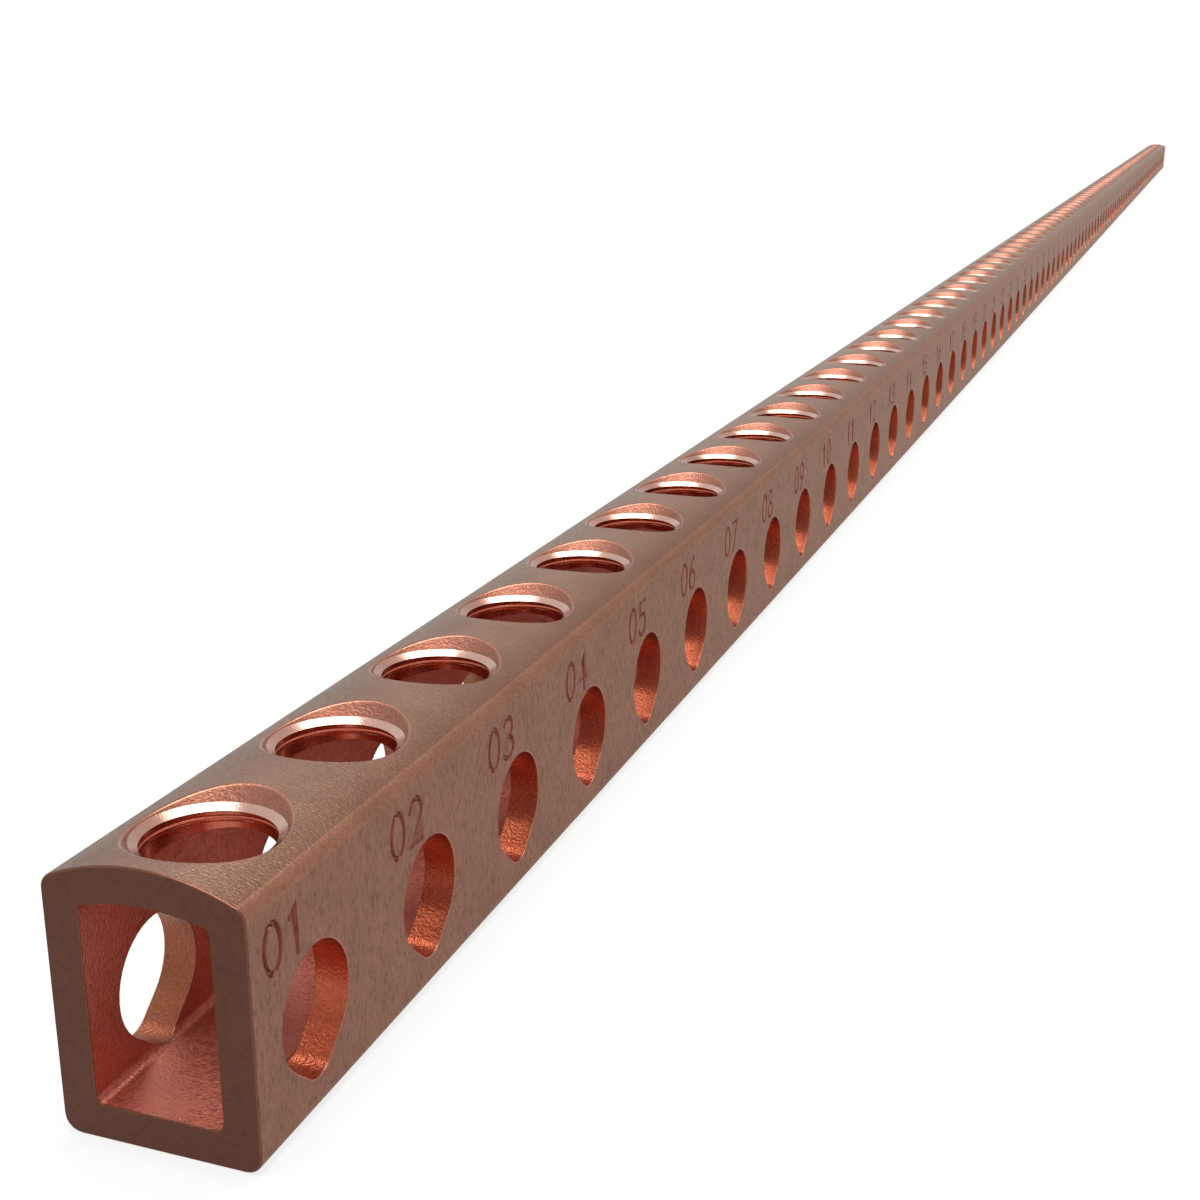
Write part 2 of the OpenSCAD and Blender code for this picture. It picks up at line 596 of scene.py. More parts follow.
@dataclass(frozen=True)
class ScrewHole:
    """Countersunk, tapped hole in the crown.

    Attributes:
        sink_radius: Radius of the countersink at the crown's middle height.
        lead_radius: Radius at which the countersink turns into the lead-in.
        lead_depth: Depth of that turn below the crown's middle.
        crest_radius: Radius at which the lead-in meets the first thread.
        crest_depth: Depth of that meeting below the crown's middle.
        root_radius: Radius of the wall between the threads.
        root_depth: Depth at which that wall starts.
        edge: Width of the broken edge round the countersink.
        steps: Steps round the hole.
        rounds: Rounds of the search for the rim.
    """

    sink_radius: float = 3.63
    lead_radius: float = 3.02
    lead_depth: float = 0.61
    crest_radius: float = 2.665
    crest_depth: float = 0.85
    root_radius: float = 2.755
    root_depth: float = 0.93
    edge: float = 0.07
    steps: int = 48
    rounds: int = 12

    @property
    def turn(self) -> np.ndarray:
        """Even angles round the hole's axis."""
        return np.linspace(-math.pi, math.pi, self.steps, endpoint=False)

    @property
    def slope(self) -> float:
        """Loss of the countersink's radius for each unit of depth."""
        return (self.sink_radius - self.lead_radius) / self.lead_depth

    def rim(self, bar: Arch, spread: float) -> np.ndarray:
        """Line on the crown round the countersink, as radii at even angles.

        Args:
            bar: Outline of the bar.
            spread: Distance that the line lies outside the true rim.

        Returns:
            The radius at each angle.
        """
        radius = np.full(self.steps, self.sink_radius)
        for _ in range(self.rounds):
            drop = bar.arch - np.sqrt(bar.arch**2 - ((radius + spread) * np.cos(self.turn)) ** 2)
            radius = self.sink_radius - self.slope * drop
        return radius + spread

    def ring(self, radius: np.ndarray, depth: np.ndarray, top: float, normals: np.ndarray) -> Loop:
        """Ring round the hole's axis.

        Args:
            radius: Radius at each angle.
            depth: Depth below the crown's middle at each angle.
            top: Height of the crown's middle.
            normals: Outward and upward part of the normal, one row or many.

        Returns:
            The ring.
        """
        turn = self.turn
        height = np.full(self.steps, top - depth)
        points = np.stack([radius * np.cos(turn), radius * np.sin(turn), height], axis=1)
        out, up = np.broadcast_to(normals, (self.steps, 2)).T
        facing = np.stack([out * np.cos(turn), out * np.sin(turn), up], axis=1)
        return Loop(points, facing / np.linalg.norm(facing, axis=1)[:, None], turn)

    def cut(self, shell: Shell, bar: Arch, cavity: Arch, low: float, high: float) -> None:
        """Adds the crown wall with its hole, from the outside to the cavity.

        Args:
            shell: Shell that gets the wall.
            bar: Outline of the bar.
            cavity: Outline of the cavity.
            low: Place where the wall starts.
            high: Place where it ends.
        """
        crown, ceiling = bar.cover(Zone.SHOULDER, Zone.CROWN), cavity.cover(Zone.CAVITY, Zone.CAVITY)

        def unrolled(band: Band, radius: np.ndarray) -> np.ndarray:
            """Outline of the hole on an unrolled band."""
            away = np.interp(-radius * np.cos(self.turn), -band.section[:, 0], band.reach())
            return np.stack([away, radius * np.sin(self.turn)], axis=1)

        def joined(points: np.ndarray, normals: np.ndarray) -> Loop:
            """Ring that a band leaves round the hole."""
            return Loop(points, normals, np.arctan2(points[:, 1], points[:, 0]))

        outer = crown.sweep(shell, low, high, unrolled(crown, self.rim(bar, self.edge)))
        inner = ceiling.sweep(shell, low, high, unrolled(ceiling, np.full(self.steps, self.root_radius)))
        top = bar.top
        lip = self.rim(bar, 0) - self.edge
        lip_depth = (self.sink_radius - lip) / self.slope
        cone = np.array([-1.0, self.slope])
        fall = (self.lead_radius - self.crest_radius) / (self.crest_depth - self.lead_depth)
        lead = np.array([-1.0, fall])
        ledge = np.array([-1.0, -1.0])
        sill = self.ring(lip, lip_depth, top, cone)
        turn_cone = self.ring(self.lead_radius, self.lead_depth, top, cone)
        turn_lead = self.ring(self.lead_radius, self.lead_depth, top, lead)
        crest = self.ring(self.crest_radius, self.crest_depth, top, lead)
        under = self.ring(self.crest_radius, self.crest_depth, top, ledge)
        root_top = self.ring(self.root_radius, self.root_depth, top, ledge)
        root = self.ring(self.root_radius, self.root_depth, top, np.array([-1.0, 0.0]))
        inwards = inner[0] * np.array([-1, -1, 0])
        last = joined(inner[0], inwards / np.linalg.norm(inwards, axis=1)[:, None])
        shell.bridge(joined(*outer), sill, Zone.EDGE)
        shell.bridge(sill, turn_cone, Zone.SINK)
        shell.bridge(turn_lead, crest, Zone.LEAD)
        shell.bridge(under, root_top, Zone.BORE)
        shell.bridge(root, last, Zone.BORE)


@dataclass(frozen=True)
class Numbering:
    """Stamped two-figure port numbers on the right side wall.

    Attributes:
        near: Place of the field's near edge from the port's centre.
        cell: Width of the cell of one figure.
        bottom: Height of the field's lower edge.
        top: Height of its upper edge.
        margin_x: Room left and right of a figure.
        margin_z: Room below and above it.
        stroke: Width of a stroke at the surface.
        valley: Width of its flat bottom.
        depth: Depth of the strokes.
        level: Share of the depth below which a point stays at the surface.
        bed: Share of the depth past which a point lies on the bottom.
    """

    near: float = -3.8
    cell: float = 1.72
    bottom: float = 7.42
    top: float = 9.86
    margin_x: float = 0.24
    margin_z: float = 0.2
    stroke: float = 0.27
    valley: float = 0.13
    depth: float = 0.11
    level: float = 0.1
    bed: float = 0.75

    def field(self) -> np.ndarray:
        """Corners of the field that holds both figures, along and up."""
        y0, y1, y2 = self.near, self.near + self.cell, self.near + 2 * self.cell
        z0, z1 = self.bottom, self.top
        return np.array([[y0, z0], [y1, z0], [y2, z0], [y2, z1], [y1, z1], [y0, z1]])

    @staticmethod
    def strokes(figure: int) -> list[tuple[np.ndarray, bool]]:
        """Middle lines of one figure, in a box 0.6 wide and 1 high.

        Args:
            figure: The figure, 0 to 9.

        Returns:
            Lines, each with whether it is closed.
        """

        def bow(
            x: float, z: float, rx: float, rz: float, first: float, last: float, steps: int
        ) -> np.ndarray:
            """Points on an arc of an ellipse, by angles in degrees."""
            turn = np.radians(np.linspace(first, last, steps + 1))
            return np.stack([x + rx * np.cos(turn), z + rz * np.sin(turn)], axis=1)

        def line(*points: tuple[float, float]) -> np.ndarray:
            """Points of a broken line."""
            return np.array(points)

        round_six = [
            (bow(0.3, 0.3, 0.27, 0.3, 180, 510, 11), True),
            (line((0.03, 0.3), (0.07, 0.58), (0.2, 0.82), (0.44, 1.0)), False),
        ]
        hook = bow(0.3, 0.71, 0.27, 0.29, 165, -40, 7)
        upper = bow(0.28, 0.76, 0.25, 0.24, 150, -90, 7)
        lower = bow(0.28, 0.26, 0.3, 0.26, 90, -150, 8)
        belly = bow(0.28, 0.32, 0.3, 0.32, 110, -145, 8)
        shapes = {
            0: [(bow(0.3, 0.5, 0.28, 0.5, 0, 337.5, 15), True)],
            1: [(line((0.1, 0.8), (0.32, 1.0), (0.32, 0.0)), False)],
            2: [(np.vstack([hook, line((0.02, 0.0), (0.58, 0.0))]), False)],
            3: [(np.vstack([upper, lower[1:]]), False)],
            4: [(line((0.45, 0.0), (0.45, 1.0), (0.0, 0.3), (0.6, 0.3)), False)],
            5: [(np.vstack([line((0.54, 1.0), (0.1, 1.0), (0.07, 0.56)), belly]), False)],
            6: round_six,
            7: [(line((0.0, 1.0), (0.58, 1.0), (0.22, 0.0)), False)],
            8: [
                (bow(0.3, 0.76, 0.23, 0.24, -90, 240, 11), True),
                (bow(0.3, 0.27, 0.28, 0.27, 90, 420, 11), True),
            ],
            9: [(np.array([0.6, 1.0]) - points, closed) for points, closed in round_six],
        }
        return shapes[figure]

    @staticmethod
    def contours(line: np.ndarray, closed: bool, width: float) -> list[np.ndarray]:
        """Closed outlines at half a width on both sides of a middle line.

        Args:
            line: Points of the middle line.
            closed: Whether the line is closed.
            width: Width of the stroke.

        Returns:
            One closed outline, or two for a closed line.
        """
        ahead = np.roll(line, -1, axis=0) - line
        behind = line - np.roll(line, 1, axis=0)
        if not closed:
            ahead[-1], behind[0] = behind[-1], ahead[0]
        ahead /= np.linalg.norm(ahead, axis=1)[:, None]
        behind /= np.linalg.norm(behind, axis=1)[:, None]
        left_a = np.stack([-ahead[:, 1], ahead[:, 0]], axis=1)
        left_b = np.stack([-behind[:, 1], behind[:, 0]], axis=1)
        mitre = left_a + left_b
        mitre /= np.maximum(np.einsum("ij,ij->i", mitre, left_a), MITRE_LIMIT)[:, None]
        reach = mitre * width / 2
        if closed:
            return [line + reach, line - reach]
        ends = line.copy()
        ends[0] -= ahead[0] * width / 2
        ends[-1] += behind[-1] * width / 2
        return [np.vstack([ends + reach, (ends - reach)[::-1]])]

    @staticmethod
    def distance(points: np.ndarray, lines: list[tuple[np.ndarray, bool]]) -> np.ndarray:
        """Distance of flat points from the nearest middle line.

        Args:
            points: Flat points.
            lines: Middle lines, each with whether it is closed.

        Returns:
            The distance of each point.
        """
        best = np.full(len(points), np.inf)
        for line, closed in lines:
            ends = np.roll(line, -1, axis=0) if closed else line[1:]
            for a, b in zip(line, ends):
                run = b - a
                share = np.clip(((points - a) @ run) / (run @ run), 0, 1)
                best = np.minimum(best, np.linalg.norm(points - a - share[:, None] * run, axis=1))
        return best

    def cell_mesh(self, figure: int, face_x: float) -> bpy.types.Mesh:
        """Makes the cell of one figure, at the place of the tens.

        Args:
            figure: The figure, 0 to 9.
            face_x: Place of the side wall's face across the bar.

        Returns:
            The new mesh.
        """
        wide, high = self.cell - 2 * self.margin_x, self.top - self.bottom - 2 * self.margin_z
        corner = np.array([self.near + self.margin_x, self.bottom + self.margin_z])
        scale = np.array([wide / 0.6, high])
        lines = [(corner + points * scale, closed) for points, closed in self.strokes(figure)]
        points = [self.field()[[0, 1, 4, 5]]]
        start = len(points[0])
        edges = ring_edges(0, start)
        for line, closed in lines:
            for width in (self.stroke, self.valley):
                for contour in self.contours(line, closed, width):
                    points.append(contour)
                    edges += ring_edges(start, len(contour))
                    start += len(contour)
        flat, faces = triangulate(np.vstack(points), edges)
        away = self.distance(flat, lines)
        half, low = self.stroke / 2, self.valley / 2
        sunk = np.clip((half - away) / (half - low), 0, 1)
        sunk[sunk < self.level] = 0
        sunk[sunk > self.bed] = 1
        space = np.stack([face_x - self.depth * sunk, flat[:, 0], flat[:, 1]], axis=1)
        normals = np.tile([1.0, 0.0, 0.0], (len(space), 1))
        in_groove = (sunk[faces] > 0).any(axis=1)
        shell = Shell()
        shell.add(space, normals, faces[~in_groove], Zone.SKIN)
        shell.add(space, normals, faces[in_groove], Zone.MARK, flat=True)
        return shell.mesh(f"figure_{figure}")


@dataclass
class Bar:
    """The whole copper bar as one closed surface.

    Attributes:
        count: Number of ports along the bar.
        outer: Outline of the bar.
        cavity: Outline of the cavity.
        port: Wire port.
        hole: Screw hole.
        numbers: Stamped port numbers.
        end_break: Width of the broken edge round each end face.
    """

    count: int = 88
    outer: Arch = OUTER
    cavity: Arch = CAVITY
    port: WirePort = WirePort()
    hole: ScrewHole = ScrewHole()
    numbers: Numbering = Numbering()
    end_break: float = 0.07

    def __post_init__(self) -> None:
        """Reads the places of the ends and the holes from the frame."""
        low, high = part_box(NODE)
        mounts = {m["name"]: m["pos_m"] for m in frame["record"]["mounts"]}
        self.low, self.high = low.y / MM, high.y / MM
        self.first = mounts["screw_hole_first"][1] / MM
        last = mounts["screw_hole_last"][1] / MM
        self.pitch = (last - self.first) / (self.count - 1)

    def station(self, low: float, high: float, shift: float, name: str) -> bpy.types.Mesh:
        """Makes one length of the bar with one port and one screw hole.

        Args:
            low: Near end of the length, from the hole's axis.
            high: Far end of the length.
            shift: Place of the hole's axis along the bar.
            name: Name of the new mesh.

        Returns:
            The new mesh, without the two cells of the port's number.
        """
        shell = Shell()
        near_end = low + shift < self.low + END_REACH
        far_end = high + shift > self.high - END_REACH
        start = low + self.end_break * near_end
        stop = high - self.end_break * far_end
        self.hole.cut(shell, self.outer, self.cavity, start, stop)
        for way in (1, -1):
            wall = self.outer.side(way, Zone.SKIN, False)
            lining = self.cavity.side(way, Zone.CAVITY, True)
            field = self.numbers.field() if way > 0 else None
            self.port.cut(shell, wall, lining, start, stop, way, field)
        self.outer.base(Zone.SKIN).sweep(shell, start, stop)
        self.cavity.floor(Zone.CAVITY).sweep(shell, start, stop)
        if near_end:
            self.end_face(shell, start, low, -1)
        if far_end:
            self.end_face(shell, stop, high, 1)
        for points in shell.points:
            points[:, 1] += shift
        return shell.mesh(name)

    def end_face(self, shell: Shell, inner_y: float, y: float, way: int) -> None:
        """Adds the flat end of the bar with broken edges inside and outside.

        Args:
            shell: Shell that gets the end.
            inner_y: Place where the broken edges start.
            y: Place of the flat face.
            way: -1 for the near end, 1 for the far one.
        """
        flats = []
        for arch, width in ((self.outer, self.end_break), (self.cavity, self.port.break_in)):
            start, facing = arch.ring(0)
            stop, _ = arch.ring(width)
            n = len(start)
            turn = np.linspace(0, TAU, n, endpoint=False)
            side = np.stack([facing[:, 0], np.zeros(n), facing[:, 1]], axis=1)
            ahead = np.tile([0.0, float(way), 0.0], (n, 1))
            a = Loop(np.stack([start[:, 0], np.full(n, inner_y), start[:, 1]], axis=1), side, turn)
            b = Loop(np.stack([stop[:, 0], np.full(n, y), stop[:, 1]], axis=1), ahead, turn)
            shell.bridge(a, b, Zone.BURR)
            flats.append(stop)
        n, m = len(flats[0]), len(flats[1])
        flat, faces = triangulate(np.vstack(flats), ring_edges(0, n) + ring_edges(n, m))
        faces = faces[~inside(flat[faces].mean(axis=1), flats[1])]
        space = np.stack([flat[:, 0], np.full(len(flat), y), flat[:, 1]], axis=1)
        shell.add(space, np.tile([0.0, float(way), 0.0], (len(flat), 1)), faces, Zone.SAWN)

    def build(self, finishes: dict[Zone, bpy.types.Material]) -> bpy.types.Object:
        """Builds the bar from one station, repeated by Geometry Nodes.

        Args:
            finishes: Material of each zone.

        Returns:
            The finished bar.
        """
        half = self.pitch / 2
        last = self.first + (self.count - 1) * self.pitch
        parts = {
            "Station": self.station(-half, half, 0.0, "station"),
            "Near end": self.station(self.low - self.first, half, self.first, "near_end"),
            "Far end": self.station(-half, self.high - last, last, "far_end"),
        }
        helpers = {key: bpy.data.objects.new(mesh.name, mesh) for key, mesh in parts.items()}
        figures = bpy.data.collections.new("figures")
        for figure in range(10):
            mesh = self.numbers.cell_mesh(figure, self.outer.half)
            figures.objects.link(bpy.data.objects.new(f"figure_{figure}", mesh))
        values = {
            "Ports": self.count,
            "Pitch": self.pitch * MM,
            "First port": self.first * MM,
            "Cell width": self.numbers.cell * MM,
            "Figures": figures,
            **helpers,
        }
        bar = grow("bar", BarTree(finishes).build(values), values)
        for mesh in list(parts.values()) + [o.data for o in figures.objects]:
            bpy.data.meshes.remove(mesh)
        bpy.data.collections.remove(figures)
        self.shade(bar)
        return bar

    @staticmethod
    def shade(bar: bpy.types.Object) -> None:
        """Turns the stored corner normals into the mesh's own normals."""
        mesh = bar.data
        normals = np.empty(len(mesh.loops) * 3, np.float32)
        mesh.attributes["nrm"].data.foreach_get("vector", normals)
        mesh.attributes.remove(mesh.attributes["nrm"])
        mesh.attributes.remove(mesh.attributes["zone"])
        mesh.shade_smooth()
        mesh.normals_split_custom_set(normals.reshape(-1, 3))
        mesh.update()


# Geometry Nodes


class Tree:
    """Small helper that writes a node tree: nodes, settings and links."""

    def __init__(self, tree: bpy.types.NodeTree) -> None:
        """Keeps the tree that is written."""
        self.tree = tree

    def add(self, kind: str, inputs: dict | None = None, **settings: object) -> bpy.types.Node:
        """Adds a node with its settings, values and incoming links.

        Args:
            kind: Type of the node.
            inputs: Value or source socket of each input, by name or number.
            settings: Properties of the node.

        Returns:
            The new node.
        """
        node = self.tree.nodes.new(kind)
        for key, value in settings.items():
            setattr(node, key, value)
        for key, value in (inputs or {}).items():
            socket = node.inputs[key]
            if isinstance(value, bpy.types.NodeSocket):
                self.tree.links.new(value, socket)
            else:
                socket.default_value = value
        return node


def new_group(name: str, values: dict[str, object]) -> tuple[Tree, bpy.types.NodeOutputs]:
    """Starts a Geometry Nodes tree with one named input for each value.

    Args:
        name: Name of the new tree.
        values: Value of each named input, whose type sets the socket's.

    Returns:
        The helper that writes the tree, and the sockets of its inputs.
    """
    kinds = {int: "Int", tuple: "Vector", bpy.types.Object: "Object", bpy.types.Collection: "Collection"}
    tree = bpy.data.node_groups.new(name, "GeometryNodeTree")
    tree.interface.new_socket("Geometry", in_out="OUTPUT", socket_type="NodeSocketGeometry")
    for key, value in values.items():
        kind = "NodeSocket" + kinds.get(type(value), "Float")
        tree.interface.new_socket(key, in_out="INPUT", socket_type=kind)
    t = Tree(tree)
    return t, t.add("NodeGroupInput").outputs


def grow(name: str, tree: bpy.types.NodeTree, values: dict[str, object]) -> bpy.types.Object:
    """Runs a Geometry Nodes tree and keeps its result as a plain mesh.

    Args:
        name: Name of the new object.
        tree: The tree to run.
        values: Value of each named input.

    Returns:
        A new object in the scene, with the result as its mesh.
    """
    seed = bpy.data.objects.new(name + "_seed", bpy.data.meshes.new(name + "_seed"))
    bpy.context.scene.collection.objects.link(seed)
    modifier = seed.modifiers.new("grow", "NODES")
    modifier.node_group = tree
    for item in tree.interface.items_tree:
        if item.item_type == "SOCKET" and item.in_out == "INPUT" and item.name in values:
            modifier[item.identifier] = values[item.name]
    seed.update_tag()
    graph = bpy.context.evaluated_depsgraph_get()
    mesh = bpy.data.meshes.new_from_object(seed.evaluated_get(graph), depsgraph=graph)
    mesh.name = name
    seed.modifiers.remove(modifier)
    made = bpy.data.objects.new(name, mesh)
    bpy.context.scene.collection.objects.link(made)
    bpy.data.objects.remove(seed)
    bpy.data.node_groups.remove(tree)
    return made


class BarTree:
    """Geometry Nodes tree that repeats the station and sets the numbers."""

    def __init__(self, finishes: dict[Zone, bpy.types.Material]) -> None:
        """Keeps the material of each zone."""
        self.finishes = finishes

    def build(self, values: dict[str, object]) -> bpy.types.NodeTree:
        """Writes the tree.

        Args:
            values: Value of each named input.

        Returns:
            The tree, with the station, the ends and the figures as inputs.
        """
        t, given = new_group("bar_row", values)
        step = t.add("ShaderNodeCombineXYZ", {"Y": given["Pitch"]}).outputs[0]
        first = t.add("ShaderNodeCombineXYZ", {"Y": given["First port"]}).outputs[0]
        second = t.add("ShaderNodeVectorMath", {0: first, 1: step}, operation="ADD").outputs[0]
        inner = t.add("ShaderNodeMath", {0: given["Ports"], 1: 2.0}, operation="SUBTRACT").outputs[0]
        row = t.add("GeometryNodeMeshLine", {"Count": inner, "Start Location": second, "Offset": step})
        station = t.add("GeometryNodeObjectInfo", {"Object": given["Station"], "As Instance": True})
        inner_row = {"Points": row.outputs[0], "Instance": station.outputs["Geometry"]}
        body = t.add("GeometryNodeInstanceOnPoints", inner_row)
        ends = [
            t.add("GeometryNodeObjectInfo", {"Object": given[name], "As Instance": True}).outputs["Geometry"]
            for name in ("Near end", "Far end")
        ]
        whole = t.add("GeometryNodeJoinGeometry")
        for source in [body.outputs[0], *ends, *self.figures(t, given, first, step)]:
            t.tree.links.new(source, whole.inputs[0])
        real = t.add("GeometryNodeRealizeInstances", {"Geometry": whole.outputs[0]})
        merged = t.add("GeometryNodeMergeByDistance", {"Geometry": real.outputs[0], "Distance": MERGE})
        zone = t.add("GeometryNodeInputNamedAttribute", {"Name": "zone"}, data_type="INT").outputs[0]
        result = merged.outputs[0]
        for key, material in self.finishes.items():
            chosen = t.add("FunctionNodeCompare", {2: zone, 3: key.value}, data_type="INT", operation="EQUAL")
            given_to = {"Geometry": result, "Selection": chosen.outputs[0], "Material": material}
            result = t.add("GeometryNodeSetMaterial", given_to).outputs[0]
        t.add("NodeGroupOutput", {0: result})
        return t.tree

    @staticmethod
    def figures(t: Tree, given: object, first: bpy.types.NodeSocket, step: bpy.types.NodeSocket) -> list:
        """Adds the nodes that pick the two figures of each port's number.

        Args:
            t: Tree that gets the nodes.
            given: Inputs of the tree.
            first: Place of the first port.
            step: Step from one port to the next.

        Returns:
            The geometry sockets of the tens and of the ones.
        """
        index = t.add("GeometryNodeInputIndex").outputs[0]
        number = t.add("ShaderNodeMath", {0: index, 1: 1.0}, operation="ADD")
        tenth = t.add("ShaderNodeMath", {0: number.outputs[0], 1: 10.0}, operation="DIVIDE")
        tens = t.add("ShaderNodeMath", {0: tenth.outputs[0]}, operation="FLOOR")
        ones = t.add("ShaderNodeMath", {0: number.outputs[0], 1: 10.0}, operation="MODULO")
        cells = t.add(
            "GeometryNodeCollectionInfo", {"Collection": given["Figures"], "Separate Children": True}
        )
        across = t.add("ShaderNodeCombineXYZ", {"Y": given["Cell width"]}).outputs[0]
        beside = t.add("ShaderNodeVectorMath", {0: first, 1: across}, operation="ADD").outputs[0]
        made = []
        for start, digit in ((first, tens), (beside, ones)):
            line = {"Count": given["Ports"], "Start Location": start, "Offset": step}
            picks = {
                "Points": t.add("GeometryNodeMeshLine", line).outputs[0],
                "Instance": cells.outputs[0],
                "Pick Instance": True,
                "Instance Index": digit.outputs[0],
            }
            made.append(t.add("GeometryNodeInstanceOnPoints", picks).outputs[0])
        return made


@dataclass
class Threads:
    """Cut threads in the screw holes, one swept helix in each.

    Attributes:
        root_radius: Radius of the middle of the ridge, on the hole's wall.
        proud: Height of the ridge over the wall.
        half_base: Half of the ridge's width at the wall.
        pitch: Rise of one turn.
        turns: Number of turns.
        depth: Depth of the top of the helix below the crown's middle.
        steps: Points in one turn.
        sides: Points round the ridge.
    """

    root_radius: float = 2.755
    proud: float = 0.1
    half_base: float = 0.15
    pitch: float = 0.43
    turns: float = 1.3
    depth: float = 0.93
    steps: int = 48
    sides: int = 8

    def build(self, bar: Bar, material: bpy.types.Material) -> bpy.types.Object:
        """Sweeps the helix and repeats it along the bar.

        Args:
            bar: The bar that the threads are cut in.
            material: Finish of the threads.

        Returns:
            The finished threads.
        """
        rise = self.pitch * self.turns * MM
        sizes = {
            "Holes": bar.count,
            "Hole pitch": bar.pitch * MM,
            "First hole": (0.0, bar.first * MM, (bar.outer.top - self.depth) * MM - rise),
            "Radius": self.root_radius * MM,
            "Proud": self.proud * MM,
            "Half base": self.half_base * MM,
            "Rise": rise,
            "Turns": self.turns,
        }
        t, given = new_group("threads", sizes)
        helix = t.add(
            "GeometryNodeCurveSpiral",
            {
                "Resolution": self.steps,
                "Rotations": given["Turns"],
                "Start Radius": given["Radius"],
                "End Radius": given["Radius"],
                "Height": given["Rise"],
            },
        )
        upright = t.add("GeometryNodeSetCurveNormal", {"Curve": helix.outputs[0]}, mode="Z_UP")
        ridge = t.add("GeometryNodeCurvePrimitiveCircle", {"Resolution": self.sides, "Radius": 1.0})
        size = t.add("ShaderNodeCombineXYZ", {"X": given["Proud"], "Y": given["Half base"], "Z": 1.0})
        profile = t.add("GeometryNodeTransform", {"Geometry": ridge.outputs[0], "Scale": size.outputs[0]})
        swept = t.add(
            "GeometryNodeCurveToMesh",
            {"Curve": upright.outputs[0], "Profile Curve": profile.outputs[0], "Fill Caps": True},
        )
        step = t.add("ShaderNodeCombineXYZ", {"Y": given["Hole pitch"]})
        row = t.add(
            "GeometryNodeMeshLine",
            {"Count": given["Holes"], "Start Location": given["First hole"], "Offset": step.outputs[0]},
        )
        placed = t.add(
            "GeometryNodeInstanceOnPoints", {"Points": row.outputs[0], "Instance": swept.outputs[0]}
        )
        real = t.add("GeometryNodeRealizeInstances", {"Geometry": placed.outputs[0]})
        done = t.add("GeometryNodeSetMaterial", {"Geometry": real.outputs[0], "Material": material})
        t.add("NodeGroupOutput", {0: done.outputs[0]})
        made = grow("screw_threads", t.tree, sizes)
        made.data.shade_smooth()
        return made


# Finishes

NOISE_SPAN = (0.3, 0.7)  # Stretch of a noise that its change of brightness covers.
STAIN_SPAN = (0.52, 0.72)  # Stretch of the marks' noise from clean metal to full stain.
POLISH_SPAN = (0.35, 0.65)  # Stretch of the marks' noise from smoothest to roughest.


def linear(code: str) -> tuple[float, float, float, float]:
    """Turns an sRGB hex colour into linear light.

    Args:
        code: Colour as six hex digits.

    Returns:
        Red, green, blue and a full alpha.
    """
    values = [int(code[i : i + 2], 16) / 255 for i in (0, 2, 4)]
    light = [v / 12.92 if v <= 0.04045 else ((v + 0.055) / 1.055) ** 2.4 for v in values]
    return (light[0], light[1], light[2], 1.0)


